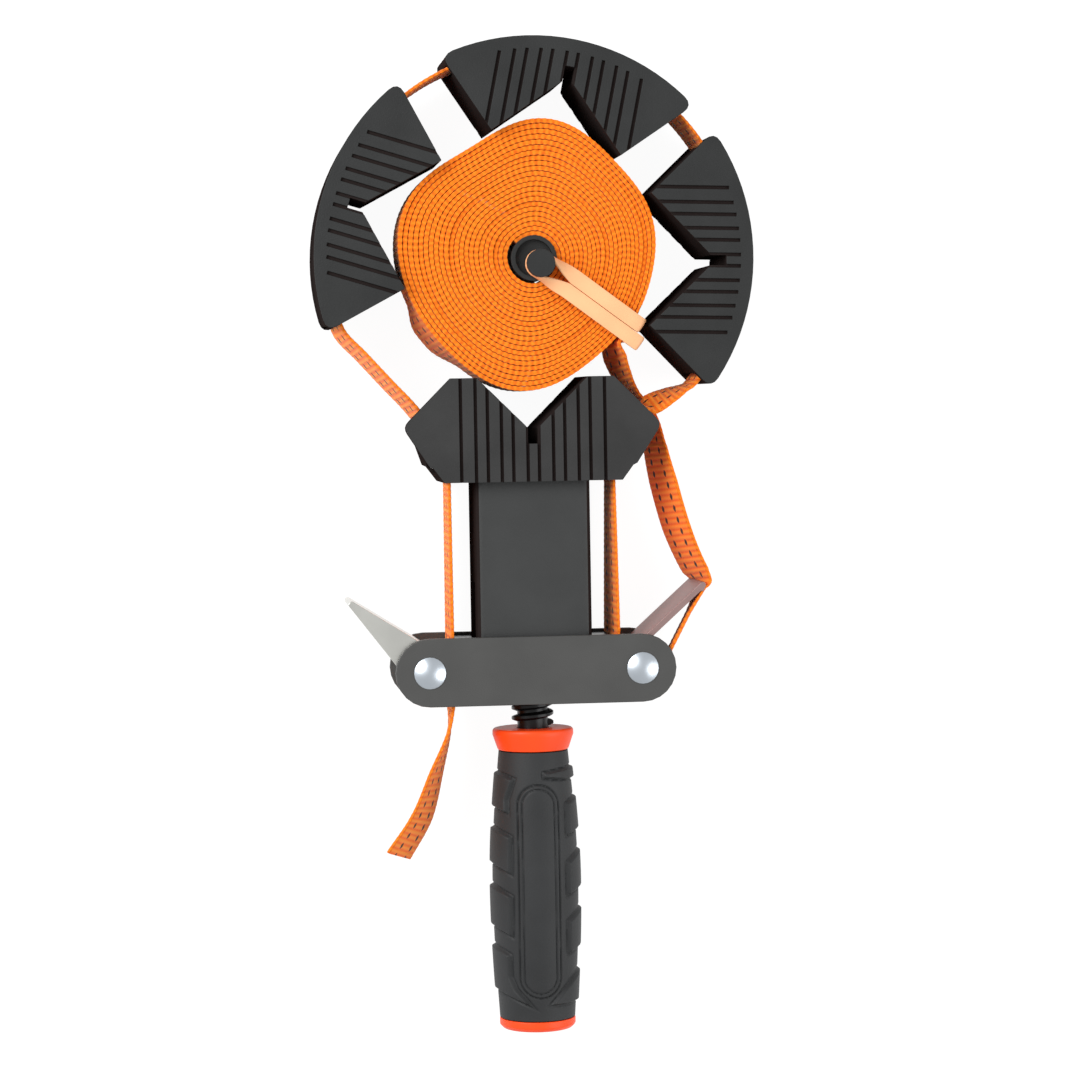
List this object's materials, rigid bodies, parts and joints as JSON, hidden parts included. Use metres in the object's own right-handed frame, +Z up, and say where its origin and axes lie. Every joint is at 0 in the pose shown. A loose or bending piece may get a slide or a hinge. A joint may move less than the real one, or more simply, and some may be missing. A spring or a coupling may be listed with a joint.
{
  "type": "band clamp",
  "caption": "Hand band clamp: webbing loop with V-notched corner jaws round a spare coil, tightened by a screw handle and locked by cam levers.",
  "frame": {"origin": "middle of the underside, on the bench", "axes": "+Y from the handle to the jaws, +Z up from the bench"},
  "size_m": [0.14, 0.3182, 0.0385],
  "materials": {
    "jaw_plastic": "fine texture",
    "dark_paint": "satin",
    "black_steel": "black oxide",
    "zinc_steel": "bright zinc",
    "orange_plastic": "semi-gloss",
    "grip_rubber": "matte",
    "webbing": "woven",
    "band_rubber": "matte"
  },
  "bodies": {
    "head": {"fixed_jaw": "jaw_plastic", "guide_tube": "dark_paint", "guide_pin_left": "zinc_steel", "guide_pin_right": "zinc_steel", "thrust_plate": "black_steel", "strap_coil": "webbing", "coil_core": "jaw_plastic", "rubber_band": "band_rubber", "strap_loop": "webbing", "strap_feed": "webbing", "strap_strand_right": "webbing", "strap_strand_left": "webbing"},
    "handle": {"spindle": "black_steel", "retaining_clip": "zinc_steel", "handle_core": "orange_plastic", "handle_grip": "grip_rubber"},
    "crossbar": {"front_plate": "dark_paint", "rear_plate": "dark_paint", "threaded_bridge": "black_steel", "rivet_left": "zinc_steel", "rivet_right": "zinc_steel", "strap_cam": "webbing", "strap_tail": "webbing"},
    "left_lever": {"lever_left": "zinc_steel"},
    "right_lever": {"lever_right": "zinc_steel"},
    "left_jaw": {"jaw_left": "jaw_plastic"},
    "top_jaw": {"jaw_top": "jaw_plastic"},
    "right_jaw": {"jaw_right": "jaw_plastic"}
  },
  "joints": [
    {"name": "handle_turn", "type": "hinge", "parent": "head", "child": "handle", "pos_m": [-0.00159, -0.10209, 0.0176], "axis": [0, 1, 0], "range_deg": [-2182, 546]},
    {"name": "crossbar_slide", "type": "slide", "parent": "head", "child": "crossbar", "axis": [0, 1, 0], "range_m": [-0.005, 0.02], "deforming": ["strap_feed", "strap_strand_right", "strap_strand_left"]},
    {"name": "left_lever_pivot", "type": "hinge", "parent": "crossbar", "child": "left_lever", "pos_m": [-0.03569, -0.04209, 0.0176], "axis": [0, 0, 1], "range_deg": [-34, 0]},
    {"name": "right_lever_pivot", "type": "hinge", "parent": "crossbar", "child": "right_lever", "pos_m": [0.03251, -0.04209, 0.0176], "axis": [0, 0, 1], "range_deg": [0, 25]},
    {"name": "left_jaw_slide", "type": "hinge", "parent": "head", "child": "left_jaw", "pos_m": [0.00001, 0.08911, 0.0176], "axis": [0, 0, 1], "range_deg": [-4.8, 2.5]},
    {"name": "top_jaw_slide", "type": "hinge", "parent": "head", "child": "top_jaw", "pos_m": [0.00001, 0.08911, 0.0176], "axis": [0, 0, 1], "range_deg": [-2.6, 4.8]},
    {"name": "right_jaw_slide", "type": "hinge", "parent": "head", "child": "right_jaw", "pos_m": [0.00001, 0.08911, 0.0176], "axis": [0, 0, 1], "range_deg": [-2.5, 2.6]}
  ],
  "couplings": [
    {"joint": "handle_turn", "follows": "crossbar_slide", "rad_per_m": -1904}
  ]
}
